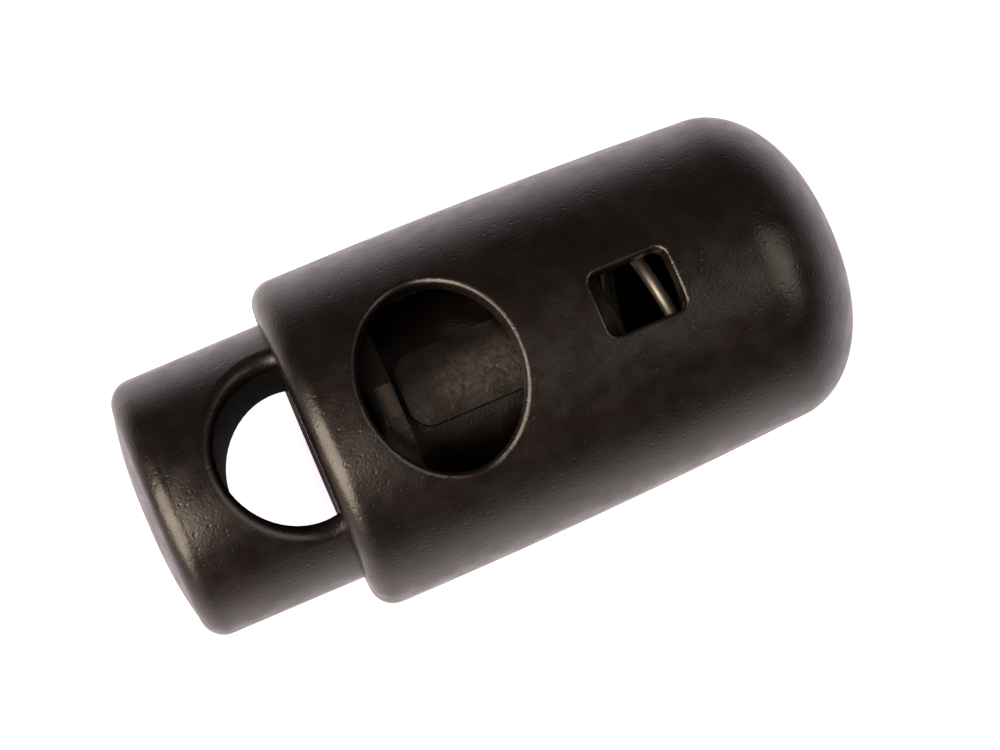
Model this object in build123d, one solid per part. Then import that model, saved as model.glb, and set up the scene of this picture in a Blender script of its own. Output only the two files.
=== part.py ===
from build123d import *
from math import radians, tan
import os

# Barrel cord lock: a blind barrel, a plunger that slides in it, and the spring between them.
# Frame (mm): the origin is the centre of the plunger's cord bore with the plunger out.
# +X runs along the barrel to its closed end, +Z runs along the cord holes, Y is across.

# --- Travel ---------------------------------------------------------------------------------------
ALIGN_TRAVEL = 6.25          # push that brings the plunger's bore under the barrel's cord holes
STOP_GAP = 0.16              # what is left of the push when the holes line up

# --- Barrel ---------------------------------------------------------------------------------------
BARREL_R = 7.0               # largest outside radius, just behind the mouth
BARREL_MOUTH_X = 0.6
BARREL_END_X = 23.26
MOUTH_ROUND = 1.0            # outside edge of the mouth
BORE_R = 5.65                # 0.15 mm of play round the plunger
BORE_CHAMFER = 0.25
DOME_A = 3.85                # closed end's rounded corner, a quarter ellipse: half-length along X
DOME_B = 5.53                # and its half-height
DOME_FLAT_R = 0.9            # flat disc in the middle of the closed end
DOME_START = 87.2            # angle on the ellipse where the barrel's crowned side runs into it
SEAT_X = 21.6                # inside face of the closed end, where the spring sits
SEAT_R = 3.6
INNER_CORNER = 2.7           # length of the bore's rounded inner corner

# --- Cord holes in the barrel's wall --------------------------------------------------------------
HOLE_X = ALIGN_TRAVEL
HOLE_HALF_X = 3.14
HOLE_HALF_Y = 3.8
HOLE_TAPER = 4.0             # degrees that each hole opens towards the outside
HOLE_RIM = 0.2

# --- Catch window, at +Z only ---------------------------------------------------------------------
WINDOW_X0 = 12.95            # near edge, in line with the face that the catch bears on
WINDOW_X1 = 16.1             # far edge at the bore
WINDOW_SLOPE = 7.0           # degrees that the far edge leans away towards the outside
WINDOW_WIDTH = 2.6
WINDOW_CORNER = 0.4
WINDOW_RIM = 0.15
LAND_R = 5.05                # inside radius of the land in front of the window
LAND_ROOT_R = 5.95           # how deep the land is rooted in the wall
LAND_WIDTH = 3.4

# --- Plunger --------------------------------------------------------------------------------------
PLUNGER_R = 5.5
PLUNGER_TIP_X = -6.55
TIP_DOME = 0.41              # height of the domed end face
TIP_FLAT_R = 0.9             # flat disc in the middle of the end face
TIP_ROUND = 1.0
HEAD_END_X = 4.4             # back of the solid head
CORD_R = 3.15
CORD_RIM = 0.5
TUBE_R = 4.35                # spring housing behind the head
TUBE_END_X = 9.5
POCKET_R = 3.6
GUIDE_END_X = 12.0           # three guides, at +Y, -Y and -Z, that keep the plunger straight
GUIDE_WIDTH = 3.4
GUIDE_INNER_R = 3.75
GUIDE_TURNS = (-90, 90, 180)
LEG_X0 = 4.63
LEG_R = 4.9
LEG_WIDTH = 3.0
LEG_CORNER = 0.9
CATCH_X = 13.0               # bearing face of the catch
CATCH_R = 5.45
CATCH_TOP = 0.05
LEG_END_X = 13.55
LEG_END_R = 4.5
FLAT_Z = 5.4                 # gate flat at the back edge of the head
FLAT_X = (3.7, 4.4)
FLAT_Y = (-0.75, 0.65)

# --- Spring ---------------------------------------------------------------------------------------
WIRE_R = 0.275
COIL_R = 3.1                 # mean coil radius
COIL_PITCH = 3.0
COIL_FRONT_X = 15.7          # where a turn crosses the middle of the window
END_GAP = 0.03               # between the spring and each face that it bears on

OVERCUT = 1.0                # how far a cutting solid runs past what it cuts


def along_x(radius, x0, x1):
    """Cylinder on the X axis from x0 to x1."""
    middle = Pos((x0 + x1) / 2, 0, 0)
    return middle * Rot(0, 90, 0) * Cylinder(radius, x1 - x0)


def block(x_range, y_range, z_range):
    """Box from its three ranges."""
    lows, highs = zip(x_range, y_range, z_range)
    centre = [(low + high) / 2 for low, high in zip(lows, highs)]
    size = [high - low for low, high in zip(lows, highs)]
    return Pos(*centre) * Box(*size)


def turned(*edges):
    """Solid of revolution about X from edges in the XY plane that close on the axis."""
    return revolve(make_face(Wire(edges)), Axis.X)


# --- Barrel ---------------------------------------------------------------------------------------
def barrel_outside():
    mouth_corner = CenterArc((BARREL_MOUTH_X + MOUTH_ROUND, BARREL_R - MOUTH_ROUND), MOUTH_ROUND, 90, 90)
    dome_centre = (BARREL_END_X - DOME_A, DOME_FLAT_R)
    dome = EllipticalCenterArc(dome_centre, DOME_A, DOME_B, 0, arc_size=DOME_START)
    side = TangentArc(mouth_corner @ 0, dome @ 1, tangent=(1, 0))
    return turned(
        Line((BARREL_MOUTH_X, 0), mouth_corner @ 1),
        mouth_corner,
        side,
        dome,
        Line(dome @ 0, (BARREL_END_X, 0)),
        Line((BARREL_END_X, 0), (BARREL_MOUTH_X, 0)),
    )


def barrel_cavity():
    corner_centre = (SEAT_X - INNER_CORNER, SEAT_R)
    corner = EllipticalCenterArc(corner_centre, INNER_CORNER, BORE_R - SEAT_R, 0, arc_size=90)
    flare = (BARREL_MOUTH_X, BORE_R + BORE_CHAMFER)
    flare_end = (BARREL_MOUTH_X + BORE_CHAMFER, BORE_R)
    return turned(
        Line((BARREL_MOUTH_X, 0), flare),
        Line(flare, flare_end),
        Line(flare_end, corner @ 1),
        corner,
        Line(corner @ 0, (SEAT_X, 0)),
        Line((SEAT_X, 0), (BARREL_MOUTH_X, 0)),
    )


def land():
    """Step in the bore in front of the window: the catch hooks behind it and the head stops at it."""
    x_range = (HEAD_END_X + ALIGN_TRAVEL + STOP_GAP, WINDOW_X0)
    ring = along_x(LAND_ROOT_R, *x_range) - along_x(LAND_R, *x_range)
    return ring & block(x_range, (-LAND_WIDTH / 2, LAND_WIDTH / 2), (0, BARREL_R))


def cord_holes():
    """Oval cord holes through both sides of the wall, each opening outwards."""
    oval = Plane.XY.offset(BORE_R) * Pos(HOLE_X, 0) * Ellipse(HOLE_HALF_X, HOLE_HALF_Y)
    outwards = extrude(oval, amount=BARREL_R - BORE_R + OVERCUT, taper=-HOLE_TAPER)
    inwards = extrude(oval, amount=-BORE_R / 2)
    front = outwards + inwards
    return [front, Rot(180, 0, 0) * front]


def window():
    """Four-sided window through the wall at +Z."""
    low_z, high_z = BORE_R - OVERCUT, BARREL_R + OVERCUT
    lean = tan(radians(WINDOW_SLOPE))
    side_view = Polyline(
        (WINDOW_X0, low_z),
        (WINDOW_X1 + (low_z - BORE_R) * lean, low_z),
        (WINDOW_X1 + (high_z - BORE_R) * lean, high_z),
        (WINDOW_X0, high_z),
        close=True,
    )
    shape = extrude(make_face(Plane.XZ * side_view), amount=WINDOW_WIDTH / 2, both=True)
    upright = [edge for edge in shape.edges() if abs((edge % 0).Z) > abs((edge % 0).X)]
    return fillet(upright, WINDOW_CORNER)


def is_outer_rim(edge, x_range):
    """True for an edge that an opening between two X values leaves on the barrel's outside."""
    low_x, high_x = x_range
    middle_r = (BORE_R + BARREL_R) / 2
    points = [edge @ (step / 8) for step in range(9)]
    return all(low_x < p.X < high_x and Vector(0, p.Y, p.Z).length > middle_r for p in points)


def make_barrel():
    solid = barrel_outside() - barrel_cavity() + land()
    solid -= cord_holes()
    solid -= window()
    hole_range = (BARREL_MOUTH_X + MOUTH_ROUND, (HOLE_X + WINDOW_X0) / 2)
    window_range = ((HOLE_X + WINDOW_X0) / 2, BARREL_END_X - DOME_A)
    for x_range, rim in ((hole_range, HOLE_RIM), (window_range, WINDOW_RIM)):
        rim_edges = [edge for edge in solid.edges() if is_outer_rim(edge, x_range)]
        solid = fillet(rim_edges, rim)
    return solid


# --- Plunger --------------------------------------------------------------------------------------
def plunger_head():
    tip_edge_x = PLUNGER_TIP_X + TIP_DOME
    corner = CenterArc((tip_edge_x + TIP_ROUND, PLUNGER_R - TIP_ROUND), TIP_ROUND, 90, 90)
    flat_edge = (PLUNGER_TIP_X, TIP_FLAT_R)
    dome = TangentArc(flat_edge, corner @ 1, tangent=(0, 1))
    return turned(
        Line((PLUNGER_TIP_X, 0), flat_edge),
        dome,
        corner,
        Line(corner @ 0, (HEAD_END_X, PLUNGER_R)),
        Line((HEAD_END_X, PLUNGER_R), (HEAD_END_X, 0)),
        Line((HEAD_END_X, 0), (PLUNGER_TIP_X, 0)),
    )


def guides():
    """Bearing strips that run on the bore, one on each side of the spring and one below it."""
    x_range = (HEAD_END_X, GUIDE_END_X)
    skirt = along_x(PLUNGER_R, *x_range) - along_x(GUIDE_INNER_R, *x_range)
    strip = skirt & block(x_range, (-GUIDE_WIDTH / 2, GUIDE_WIDTH / 2), (0, PLUNGER_R))
    return [Rot(turn, 0, 0) * strip for turn in GUIDE_TURNS]


def catch_leg():
    """Springy leg at +Z with its catch, drawn as a ring's profile and cut to the leg's plan."""
    outline = Polyline(
        (LEG_X0, 0),
        (LEG_X0, LEG_R),
        (CATCH_X, LEG_R),
        (CATCH_X, CATCH_R),
        (CATCH_X + CATCH_TOP, CATCH_R),
        (LEG_END_X, LEG_END_R),
        (LEG_END_X, 0),
        close=True,
    )
    turned_leg = revolve(make_face(outline), Axis.X)
    plan = block((LEG_X0, LEG_END_X), (-LEG_WIDTH / 2, LEG_WIDTH / 2), (POCKET_R, CATCH_R + OVERCUT))
    root_edges = plan.edges().filter_by(Axis.Z).group_by(Axis.X)[0]
    return turned_leg & fillet(root_edges, LEG_CORNER)


def make_plunger():
    tube = along_x(TUBE_R, HEAD_END_X, TUBE_END_X) - along_x(POCKET_R, HEAD_END_X, TUBE_END_X)
    solid = plunger_head() + tube + guides() + catch_leg()
    solid -= Cylinder(CORD_R, 2 * (PLUNGER_R + OVERCUT))
    rims = [edge for edge in solid.edges() if is_cord_rim(edge)]
    solid = fillet(rims, CORD_RIM)
    return solid - block(FLAT_X, FLAT_Y, (FLAT_Z, PLUNGER_R))


def is_cord_rim(edge):
    """True for the two edges where the cord bore breaks the plunger's outside."""
    points = [edge @ (step / 8) for step in range(9)]
    outer_half = PLUNGER_R / 2
    return all(abs(Vector(p.X, p.Y).length - CORD_R) < 0.01 and abs(p.Z) > outer_half for p in points)


# --- Spring ---------------------------------------------------------------------------------------
def make_spring():
    first_x = HEAD_END_X + WIRE_R + END_GAP
    length = SEAT_X - HEAD_END_X - 2 * (WIRE_R + END_GAP)
    path = Helix(COIL_PITCH, length, COIL_R)
    section = Plane(origin=path @ 0, z_dir=path % 0) * Circle(WIRE_R)
    coil = sweep(section, path=path, is_frenet=True)
    phase = 180 + 360 * (first_x - COIL_FRONT_X) / COIL_PITCH    # the path starts at -Z
    return Pos(first_x, 0, 0) * Rot(phase, 0, 0) * Rot(0, 90, 0) * coil


os.makedirs("parts", exist_ok=True)
for name, solid in (("barrel", make_barrel()), ("plunger", make_plunger()), ("spring", make_spring())):
    export_step(solid, f"parts/{name}.step")
    print(name, round(solid.volume, 2), solid.bounding_box())
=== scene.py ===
from math import cos, pi, radians, sin, tau
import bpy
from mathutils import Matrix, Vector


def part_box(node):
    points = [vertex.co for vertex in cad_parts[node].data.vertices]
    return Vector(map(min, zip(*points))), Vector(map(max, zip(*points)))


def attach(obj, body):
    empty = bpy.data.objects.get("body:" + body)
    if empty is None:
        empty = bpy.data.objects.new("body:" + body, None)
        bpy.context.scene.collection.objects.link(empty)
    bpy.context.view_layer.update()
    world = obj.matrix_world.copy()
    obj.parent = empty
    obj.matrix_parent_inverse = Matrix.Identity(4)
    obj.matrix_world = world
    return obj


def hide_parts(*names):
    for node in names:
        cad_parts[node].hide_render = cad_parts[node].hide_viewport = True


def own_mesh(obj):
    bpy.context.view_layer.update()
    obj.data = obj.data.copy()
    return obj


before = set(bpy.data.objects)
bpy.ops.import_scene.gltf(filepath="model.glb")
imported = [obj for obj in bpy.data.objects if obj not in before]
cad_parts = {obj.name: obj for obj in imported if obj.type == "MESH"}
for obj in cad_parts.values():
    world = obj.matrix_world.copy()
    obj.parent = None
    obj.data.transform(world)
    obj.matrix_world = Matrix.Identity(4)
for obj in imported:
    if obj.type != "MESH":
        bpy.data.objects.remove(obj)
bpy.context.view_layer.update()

from types import SimpleNamespace

import bpy
from mathutils import Matrix, Vector

# Cord lock: two black mouldings and a steel spring, lying on its side on a white table.
# Metres, in the CAD frame: +X to the barrel's closed end, +Z along the cord holes.

MM = 0.001
BARREL_LOW, BARREL_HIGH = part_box("barrel")
SPRING_LOW, SPRING_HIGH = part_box("spring")
PLUNGER_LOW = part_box("plunger")[0]
BARREL_R = BARREL_HIGH.z


# --- Shader helpers -------------------------------------------------------------------------------
def new_tree(name):
    """A new material and its empty node tree."""
    material = bpy.data.materials.new(name)
    material.use_nodes = True
    material.node_tree.nodes.clear()
    return material, material.node_tree


def connect(tree, socket, value):
    """Feeds a socket from another socket, or gives it a constant."""
    if isinstance(value, bpy.types.NodeSocket):
        tree.links.new(value, socket)
    else:
        socket.default_value = value


def add(tree, kind, settings=None, **inputs):
    """A new node; an input's value is a number, a colour or the socket that feeds it."""
    node = tree.nodes.new("ShaderNode" + kind)
    for name, value in (settings or {}).items():
        setattr(node, name, value)
    for name, value in inputs.items():
        connect(tree, node.inputs[name.replace("_", " ")], value)
    return node


def calc(tree, operation, *values):
    """The result of a Math node."""
    node = tree.nodes.new("ShaderNodeMath")
    node.operation = operation
    for socket, value in zip(node.inputs, values):
        connect(tree, socket, value)
    return node.outputs[0]


def times(tree, *values):
    """Product of two or more values."""
    product = values[0]
    for value in values[1:]:
        product = calc(tree, "MULTIPLY", product, value)
    return product


def rest_of(tree, share):
    """What is left of 1."""
    return calc(tree, "SUBTRACT", 1.0, share)


def length(tree, first, second):
    """Length of the vector whose two parts are given."""
    squares = calc(tree, "ADD", times(tree, first, first), times(tree, second, second))
    return calc(tree, "SQRT", squares)


def fade(tree, value, span, low=0.0, high=1.0):
    """Smooth change from low to high as value goes from span's first number to its second."""
    settings = {"interpolation_type": "SMOOTHSTEP", "clamp": True}
    start, end = span
    node = add(tree, "MapRange", settings, Value=value, From_Min=start, From_Max=end,
               To_Min=low, To_Max=high)
    return node.outputs["Result"]


def line_at(tree, value, middle, half_width):
    """1 where value is at middle, falling to 0 half_width away."""
    away = calc(tree, "ABSOLUTE", calc(tree, "SUBTRACT", value, middle))
    return fade(tree, away, (0.0, half_width), 1.0, 0.0)


def noise(tree, vector, size, detail=2.0, roughness=0.5, distortion=0.0):
    """Noise between about 0.2 and 0.8 whose blobs are size metres across."""
    node = add(tree, "TexNoise", None, Vector=vector, Scale=1 / size, Detail=detail,
               Roughness=roughness, Distortion=distortion)
    return node.outputs[0]


def ramp(tree, value, *stops):
    """Colour ramp from (position, colour) stops."""
    node = add(tree, "ValToRGB", None, Fac=value)
    elements = node.color_ramp.elements
    for element, (position, colour) in zip(elements, stops, strict=True):
        element.position = position
        element.color = (*colour, 1.0)
    return node.outputs["Color"]


def blend(tree, share, first, second):
    """Colour that goes from first to second as share goes from 0 to 1."""
    node = add(tree, "Mix", {"data_type": "RGBA"})
    for index, value in ((0, share), (6, first), (7, second)):
        connect(tree, node.inputs[index], value)
    return node.outputs[2]


def bump(tree, height, depth, normal=None):
    """Normal of a relief whose height of 0 to 1 stands for depth metres."""
    node = add(tree, "Bump", None, Height=height, Distance=depth, Strength=1.0)
    if normal is not None:
        connect(tree, node.inputs["Normal"], normal)
    return node.outputs["Normal"]


def swell(tree, x, span, depth, normal):
    """Bump that falls away ever faster from span's end to its start, as a moulding does at an edge."""
    start, end = span
    share = add(tree, "MapRange", {"clamp": True}, Value=x, From_Min=start, From_Max=end,
                To_Min=1.0, To_Max=0.0).outputs["Result"]
    return bump(tree, rest_of(tree, times(tree, share, share)), depth, normal)


def finish_material(material, tree, shader):
    """Puts the shader on the material's surface."""
    output = tree.nodes.new("ShaderNodeOutputMaterial")
    tree.links.new(shader.outputs[0], output.inputs["Surface"])
    return material


def paint(obj, material):
    """Gives every face of obj this material."""
    obj.data.materials.clear()
    obj.data.materials.append(material)


# --- Black mouldings ------------------------------------------------------------------------------
BLACK_LOW = (0.0030, 0.0018, 0.0015)
BLACK_HIGH = (0.0055, 0.0034, 0.0028)
PAINTED_LIGHT_GREY = (0.045, 0.036, 0.029, 1.0)   # lighter plastic colour, painted light: a painted highlight on the gate flat and painted light in the catch leg's flow marks
CLOUD = 2.6 * MM                        # size of the faint clouds in the black
ROUGH_PATCH = 0.9 * MM
ROUGHNESS = (0.28, 0.38)
GLOSS = 0.5
WAVE = 1.7 * MM                         # shallow waves of the moulded skin
WAVE_DEPTH = 0.010 * MM
PIT = 0.38 * MM                         # spacing of the shallow pits in the grain
PIT_EDGE = (0.06, 0.26)                 # a pit's bottom and rim, as shares of the spacing
PIT_DEPTH = 0.007 * MM
GRAIN = 0.13 * MM
GRAIN_DEPTH = 0.011 * MM

# A pair of places is where a mark starts to show and where it shows in full.
PARTING = 0.05 * MM                     # half-width of a parting line
RIDGE = 0.008 * MM                      # height of the barrel's parting line
GROOVE = 0.03 * MM                      # depth of the plunger's parting line
BORE_WALL = (5.9 * MM, 5.7 * MM)        # radius of the barrel's duller bore
BORE_END = (20.9 * MM, 20.7 * MM)       # X that keeps its mark off the closed end's outside
CORD_WALL = (3.5 * MM, 3.2 * MM)        # distance of the plunger's cord bore from the Z axis
FACE_DEPTH = 0.5 * MM                   # how far the end face's marks reach back from the tip
FACE_EDGE = 0.1 * MM                    # and over how much of that they fade in
RING_PITCH = 0.22 * MM                  # turning rings on the end face
RING_START = (0.4 * MM, 0.8 * MM)       # radius
RING_DEPTH = 0.002 * MM

# The skin sinks towards a free edge: X where it is lowest and where it is level again.
MOUTH_SINK = (BARREL_LOW.x + 1.0 * MM, BARREL_LOW.x + 3.8 * MM)
MOUTH_SINK_DEPTH = 0.12 * MM
HEAD_SINK = (PLUNGER_LOW.x + 1.4 * MM, PLUNGER_LOW.x + 3.0 * MM)
HEAD_SINK_DEPTH = 0.11 * MM

LEG_START = (4.8 * MM, 7.4 * MM)        # X where the flow marks on the catch leg begin
LEG_END = (11.5 * MM, 8.5 * MM)         # and where they end
LEG_EDGE = (1.4 * MM, 0.3 * MM)         # distance from their middle line
LEG_MIDDLE = -0.2 * MM                  # Y of that line
LEG_TOP = (4.4 * MM, 4.7 * MM)          # Z just under the leg's top
FLOW = 0.28 * MM
FLOW_DEPTH = 0.030 * MM
FLOW_PAINTED_LIGHT = (0.2, 0.9)                  # share of the lighter colour in the flow marks, part of it painted light
GATE_X = 4.05 * MM                      # middle of the gate flat, at the back edge of the head
GATE_HALF = 0.5 * MM
GATE_Z = (5.3 * MM, 5.38 * MM)
GATE_SKIN = (5.47 * MM, 5.43 * MM)      # radius: the flat lies just under the head's round skin


def place(tree):
    """Object coordinates, their parts and the distance from the X axis."""
    vector = add(tree, "TexCoord").outputs["Object"]
    parts = add(tree, "SeparateXYZ", None, Vector=vector).outputs
    x, y, z = parts[0], parts[1], parts[2]
    return SimpleNamespace(vector=vector, x=x, y=y, z=z, radius=length(tree, y, z))


def moulded_skin(tree, vector):
    """What both mouldings share: clouded black, uneven gloss and a fine spark-eroded grain."""
    cloud = noise(tree, vector, CLOUD, detail=3.0)
    colour = ramp(tree, cloud, (0.35, BLACK_LOW), (0.65, BLACK_HIGH))
    rough = fade(tree, noise(tree, vector, ROUGH_PATCH, detail=4.0), (0.3, 0.7), *ROUGHNESS)
    waves = bump(tree, noise(tree, vector, WAVE, detail=1.0), WAVE_DEPTH)
    cells = add(tree, "TexVoronoi", None, Vector=vector, Scale=1 / PIT).outputs["Distance"]
    pits = bump(tree, fade(tree, cells, PIT_EDGE), PIT_DEPTH, waves)
    grain = bump(tree, noise(tree, vector, GRAIN, detail=2.0, roughness=0.6), GRAIN_DEPTH, pits)
    return SimpleNamespace(colour=colour, rough=rough, gloss=GLOSS, normal=grain)


def moulded_plastic(name, add_marks):
    """Black acetal; add_marks(tree, spot, skin) changes the skin where one moulding has marks."""
    material, tree = new_tree(name)
    spot = place(tree)
    skin = moulded_skin(tree, spot.vector)
    add_marks(tree, spot, skin)
    shader = add(tree, "BsdfPrincipled", None, Base_Color=skin.colour, Roughness=skin.rough,
                 Normal=skin.normal, Specular_IOR_Level=skin.gloss, IOR=1.5)
    return finish_material(material, tree, shader)


def dull(tree, skin, share, rough, gloss):
    """Makes the skin as rough and as little glossy as stated where share is 1."""
    skin.rough = calc(tree, "MAXIMUM", skin.rough, times(tree, share, rough))
    skin.gloss = fade(tree, share, (0.0, 1.0), GLOSS, gloss)


def barrel_marks(tree, spot, skin):
    """The parting line along both sides, the duller bore and the sunk mouth."""
    parting = line_at(tree, spot.z, 0.0, PARTING)
    skin.normal = bump(tree, parting, RIDGE, skin.normal)
    inside = times(tree, fade(tree, spot.radius, BORE_WALL), fade(tree, spot.x, BORE_END))
    dull(tree, skin, inside, rough=0.5, gloss=0.3)
    skin.normal = swell(tree, spot.x, MOUTH_SINK, MOUTH_SINK_DEPTH, skin.normal)


def plunger_marks(tree, spot, skin):
    """Parting line, dull cord bore, ringed end face, flow marks with painted light, gate flat with a
    painted highlight, sunk end.
    """
    face_edge = PLUNGER_LOW.x + FACE_DEPTH
    on_face = fade(tree, spot.x, (face_edge, face_edge - FACE_EDGE))
    parting = times(tree, line_at(tree, spot.z, 0.0, PARTING), rest_of(tree, on_face))
    skin.normal = bump(tree, rest_of(tree, parting), GROOVE, skin.normal)
    in_bore = fade(tree, length(tree, spot.x, spot.y), CORD_WALL)
    dull(tree, skin, in_bore, rough=0.95, gloss=0.03)
    turning_rings(tree, spot, skin, on_face)
    flow_marks_and_painted_light(tree, spot, skin)
    painted_gate_highlight(tree, spot, skin)
    skin.normal = swell(tree, spot.x, HEAD_SINK, HEAD_SINK_DEPTH, skin.normal)


def turning_rings(tree, spot, skin, on_face):
    """Faint rings of the turned mould insert, from a little way off the middle of the face."""
    rings = calc(tree, "SINE", times(tree, spot.radius, tau / RING_PITCH))
    ringed = times(tree, on_face, fade(tree, spot.radius, RING_START))
    skin.normal = bump(tree, times(tree, rings, ringed), RING_DEPTH, skin.normal)


def flow_marks_and_painted_light(tree, spot, skin):
    """Greyish flow marks along the catch leg's top, where the plastic flowed last; their pale tone is
    also painted light.
    """
    along = times(tree, fade(tree, spot.x, LEG_START), fade(tree, spot.x, LEG_END))
    off_middle = calc(tree, "ABSOLUTE", calc(tree, "SUBTRACT", spot.y, LEG_MIDDLE))
    on_leg = times(tree, along, fade(tree, off_middle, LEG_EDGE), fade(tree, spot.z, LEG_TOP))
    flow = noise(tree, spot.vector, FLOW, detail=4.0, distortion=0.8)
    skin.normal = bump(tree, times(tree, flow, on_leg), FLOW_DEPTH, skin.normal)
    # painted light: the marks' pale tone also stands for light falling on the leg through the cord
    # hole
    painted_light_share = times(tree, fade(tree, flow, (0.30, 0.75), *FLOW_PAINTED_LIGHT), on_leg)
    skin.colour = blend(tree, painted_light_share, skin.colour, PAINTED_LIGHT_GREY)


def painted_gate_highlight(tree, spot, skin):
    """Painted highlight: the small flat where the gate was cut off is painted lighter where light
    glints on it.
    """
    at_gate = times(tree, line_at(tree, spot.x, GATE_X, GATE_HALF), fade(tree, spot.z, GATE_Z))
    gate = times(tree, at_gate, fade(tree, spot.radius, GATE_SKIN))
    # painted highlight: the gate flat gets the lighter colour where light glints on it
    skin.colour = blend(tree, gate, skin.colour, PAINTED_LIGHT_GREY)


# --- Wire and table -------------------------------------------------------------------------------
WIRE_LOW = (0.60, 0.56, 0.50)
WIRE_HIGH = (0.82, 0.78, 0.71)
WIRE_ROUGHNESS = (0.46, 0.58)
STREAK_DEPTH = 0.002 * MM
TABLE_LOW = (0.10, 0.10, 0.10)
TABLE_HIGH = (0.12, 0.12, 0.12)
TABLE_CLOUD = 40 * MM
TABLE_GLOW = 1.2
TABLE_TINT = (1.0, 0.885, 0.92, 1.0)
GLOW_FADE = (24 * MM, 60 * MM)          # the glow falls off between these distances
GLOW_FAR = 0.25
GLOW_SIDE = (-20 * MM, 20 * MM)         # and between these Y it grows a little
GLOW_SIDE_SHARE = (0.86, 1.06)
SHADE_REACH = 2.2 * MM                  # how near a thing has to be to shade the table
SHADE_FADE = (0.05, 0.65)               # share of open sky, from no glow to all of it


def spring_steel():
    """Drawn stainless wire with faint streaks along it."""
    material, tree = new_tree("spring_steel")
    uv = add(tree, "TexCoord").outputs["UV"]
    stretched = add(tree, "Mapping", None, Vector=uv, Scale=(6.0, 40.0, 1.0)).outputs["Vector"]
    streaks = add(tree, "TexNoise", None, Vector=stretched, Scale=1.0, Detail=4.0).outputs[0]
    colour = ramp(tree, streaks, (0.3, WIRE_LOW), (0.7, WIRE_HIGH))
    rough = fade(tree, streaks, (0.3, 0.7), *WIRE_ROUGHNESS)
    normal = bump(tree, streaks, STREAK_DEPTH)
    shader = add(tree, "BsdfPrincipled", None, Base_Color=colour, Roughness=rough, Normal=normal,
                 Metallic=1.0)
    return finish_material(material, tree, shader)


def table_white():
    """Table top that glows white round its middle; it darkens where something stands close."""
    material, tree = new_tree("table_white")
    vector = add(tree, "TexCoord").outputs["Object"]
    colour = ramp(tree, noise(tree, vector, TABLE_CLOUD), (0.3, TABLE_LOW), (0.7, TABLE_HIGH))
    y = add(tree, "SeparateXYZ", None, Vector=vector).outputs[1]
    from_middle = add(tree, "VectorMath", {"operation": "LENGTH"}, Vector=vector).outputs["Value"]
    reach = fade(tree, from_middle, GLOW_FADE, 1.0, GLOW_FAR)
    side = fade(tree, y, GLOW_SIDE, *GLOW_SIDE_SHARE)
    open_sky = add(tree, "AmbientOcclusion", {"samples": 8}, Distance=SHADE_REACH).outputs["AO"]
    glow = times(tree, fade(tree, open_sky, SHADE_FADE), times(tree, reach, side, TABLE_GLOW))
    shader = add(tree, "BsdfPrincipled", None, Base_Color=colour, Roughness=0.9,
                 Emission_Color=TABLE_TINT, Emission_Strength=glow)
    return finish_material(material, tree, shader)


# --- Spring ---------------------------------------------------------------------------------------
WIRE_R = 0.275 * MM
COIL_R = SPRING_HIGH.z - WIRE_R
COIL_PITCH = 3.0 * MM
COIL_FRONT_X = 15.7 * MM      # where a turn crosses the window's middle line, Y = 0
CLOSED_TURNS = 1.0            # each end's last turn lies against its neighbour
CLOSED_PITCH = 2 * WIRE_R * 1.04
OPENING_TURNS = 0.12          # half of the stretch over which the pitch opens
STEPS_PER_TURN = 72
WIRE_SIDES = 20


def pitch_at(turn, turns):
    """Pitch after some of the turns: closed at both ends, open between, with a smooth change."""
    from_end = min(turn, turns - turn)
    share = (from_end - CLOSED_TURNS + OPENING_TURNS) / (2 * OPENING_TURNS)
    share = min(max(share, 0.0), 1.0)
    return CLOSED_PITCH + (COIL_PITCH - CLOSED_PITCH) * share * share * (3 - 2 * share)


def coil_path():
    """Centre line of the wire: (x, turn angle) from the plunger's end to the closed end."""
    first_x = SPRING_LOW.x + WIRE_R
    last_x = SPRING_HIGH.x - WIRE_R
    open_length = last_x - first_x - 2 * CLOSED_TURNS * CLOSED_PITCH
    turns = open_length / COIL_PITCH + 2 * CLOSED_TURNS
    count = round(turns * STEPS_PER_TURN)
    marks = [turns * step / count for step in range(count + 1)]
    alongs = [0.0]
    for before, after in zip(marks, marks[1:]):
        pitch = (pitch_at(before, turns) + pitch_at(after, turns)) / 2
        alongs.append(alongs[-1] + pitch * turns / count)
    scale = (last_x - first_x) / alongs[-1]
    return [(first_x + scale * along, tau * turn) for along, turn in zip(alongs, marks)]


def coil_centres():
    """Points on the centre line, turned so that a coil is on top at COIL_FRONT_X."""
    path = coil_path()
    front_angle = min(path, key=lambda point: abs(point[0] - COIL_FRONT_X))[1]
    centres = []
    for x, angle in path:
        turned = angle - front_angle
        centres.append(Vector((x, -COIL_R * sin(turned), COIL_R * cos(turned))))
    return centres


def wire_ring(centres, index):
    """The wire's section at one point of the centre line, square to it."""
    before = centres[max(index - 1, 0)]
    after = centres[min(index + 1, len(centres) - 1)]
    along = (after - before).normalized()
    outward = Vector((0, centres[index].y, centres[index].z)).normalized()
    outward = (outward - along * outward.dot(along)).normalized()
    across = along.cross(outward)
    ring = []
    for side in range(WIRE_SIDES):
        angle = tau * side / WIRE_SIDES
        ring.append(centres[index] + WIRE_R * (cos(angle) * outward + sin(angle) * across))
    return ring


def unroll_wire(mesh):
    """UV map for the streaks: u runs along the wire in turns, v round it."""
    layer = mesh.uv_layers.new(name="wire")
    for polygon in mesh.polygons:
        ring, side = divmod(polygon.index, WIRE_SIDES)
        corners = ((ring, side), (ring, side + 1), (ring + 1, side + 1), (ring + 1, side))
        if len(polygon.loop_indices) == len(corners):
            for loop, (u, v) in zip(polygon.loop_indices, corners):
                layer.data[loop].uv = (u / STEPS_PER_TURN, v / WIRE_SIDES)


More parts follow.
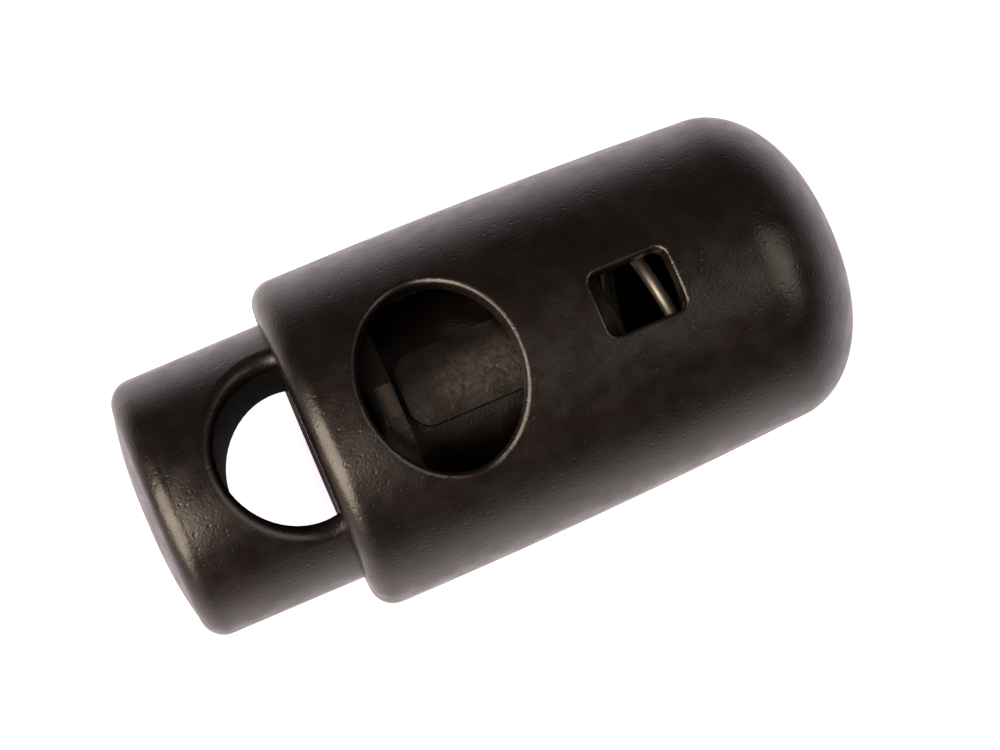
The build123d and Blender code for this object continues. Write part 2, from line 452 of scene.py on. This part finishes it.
def coil_mesh():
    """Closed tube of wire along the centre line."""
    centres = coil_centres()
    vertices, faces = [], []
    for index in range(len(centres)):
        vertices.extend(wire_ring(centres, index))
    for ring in range(len(centres) - 1):
        for side in range(WIRE_SIDES):
            a = ring * WIRE_SIDES + side
            b = ring * WIRE_SIDES + (side + 1) % WIRE_SIDES
            faces.append((a, b, b + WIRE_SIDES, a + WIRE_SIDES))
    last = (len(centres) - 1) * WIRE_SIDES
    faces.append(tuple(reversed(range(WIRE_SIDES))))
    faces.append(tuple(range(last, last + WIRE_SIDES)))
    mesh = bpy.data.meshes.new("coil_spring")
    mesh.from_pydata(vertices, [], faces)
    unroll_wire(mesh)
    mesh.shade_smooth()
    return mesh


def make_spring():
    """The wire that stands for the CAD spring; it rides with the barrel."""
    spring = bpy.data.objects.new("coil_spring", coil_mesh())
    bpy.context.scene.collection.objects.link(spring)
    paint(spring, spring_steel())
    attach(spring, "barrel")
    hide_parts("spring")
    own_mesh(spring)


# --- Stage ----------------------------------------------------------------------------------------
TABLE_SIZE = 1.2
ROOM_COLOUR = (1.0, 0.9, 0.85, 1.0)
ROOM_STRENGTH = 0.07


def make_table():
    """Flat square under the object, touching the barrel's lowest line."""
    half = TABLE_SIZE / 2
    mesh = bpy.data.meshes.new("table")
    corners = [(-half, -half, 0), (half, -half, 0), (half, half, 0), (-half, half, 0)]
    mesh.from_pydata(corners, [], [(0, 1, 2, 3)])
    table = bpy.data.objects.new("table", mesh)
    table.location = ((PLUNGER_LOW.x + BARREL_HIGH.x) / 2, 0, -BARREL_R)
    bpy.context.scene.collection.objects.link(table)
    paint(table, table_white())


def make_light(name, azimuth, elevation, distance, size, radiance, colour):
    """Square soft box that faces the object; azimuth 0 is +X and 90 is +Y."""
    a, e = radians(azimuth), radians(elevation)
    direction = Vector((cos(a) * cos(e), sin(a) * cos(e), sin(e)))
    light = bpy.data.lights.new(name, "AREA")
    light.shape = "SQUARE"
    light.size = size
    light.energy = radiance * pi * size * size
    light.color = colour
    box = bpy.data.objects.new(name, light)
    box.location = VIEW_CENTRE + direction * distance
    box.rotation_euler = direction.to_track_quat("Z", "Y").to_euler()
    bpy.context.scene.collection.objects.link(box)


def make_lights():
    make_light("key", azimuth=198, elevation=39, distance=0.30, size=0.30, radiance=9.6,
               colour=(1.0, 0.82, 0.66))
    make_light("fill", azimuth=342, elevation=47, distance=0.35, size=0.24, radiance=2.4,
               colour=(1.0, 0.85, 0.72))


def make_world():
    """Dim warm light from all round."""
    world = bpy.data.worlds.new("studio")
    world.use_nodes = True
    background = world.node_tree.nodes["Background"]
    background.inputs["Color"].default_value = ROOM_COLOUR
    background.inputs["Strength"].default_value = ROOM_STRENGTH
    bpy.context.scene.world = world


# --- Camera ---------------------------------------------------------------------------------------
VIEW_CENTRE = Vector((8.77, -0.15, 0.0)) * MM
VIEW_WIDTH = 40.33 * MM       # width of the view at the barrel's axis
VIEW_DISTANCE = 170 * MM
LEAN_BACK = 6.6               # degrees that the camera stands off the Z axis towards -Y
LEAN_LEFT = 3.5               # and towards -X
ROLL = 22.96                  # degrees that the barrel's axis climbs across the frame


def make_camera():
    """Looks down on the object, turned so that the barrel climbs to the right."""
    back, left, roll = radians(LEAN_BACK), radians(LEAN_LEFT), radians(ROLL)
    towards = Vector((-sin(left), -sin(back) * cos(left), cos(back) * cos(left)))
    along = (Vector((1, 0, 0)) - towards * towards.x).normalized()
    across = towards.cross(along)
    right = along * cos(roll) - across * sin(roll)
    up = along * sin(roll) + across * cos(roll)
    camera = bpy.data.cameras.new("camera")
    camera.sensor_width = 36.0
    camera.lens = camera.sensor_width * VIEW_DISTANCE / VIEW_WIDTH
    camera.clip_start = 0.01
    camera.clip_end = 10.0
    eye = bpy.data.objects.new("camera", camera)
    turn = Matrix((right, up, towards)).transposed().to_4x4()
    eye.matrix_world = Matrix.Translation(VIEW_CENTRE + towards * VIEW_DISTANCE) @ turn
    bpy.context.scene.collection.objects.link(eye)
    bpy.context.scene.camera = eye


make_camera()
make_world()
make_lights()
make_table()
paint(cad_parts["barrel"], moulded_plastic("barrel_plastic", barrel_marks))
paint(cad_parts["plunger"], moulded_plastic("plunger_plastic", plunger_marks))
make_spring()
bpy.context.scene.view_settings.view_transform = "Standard"
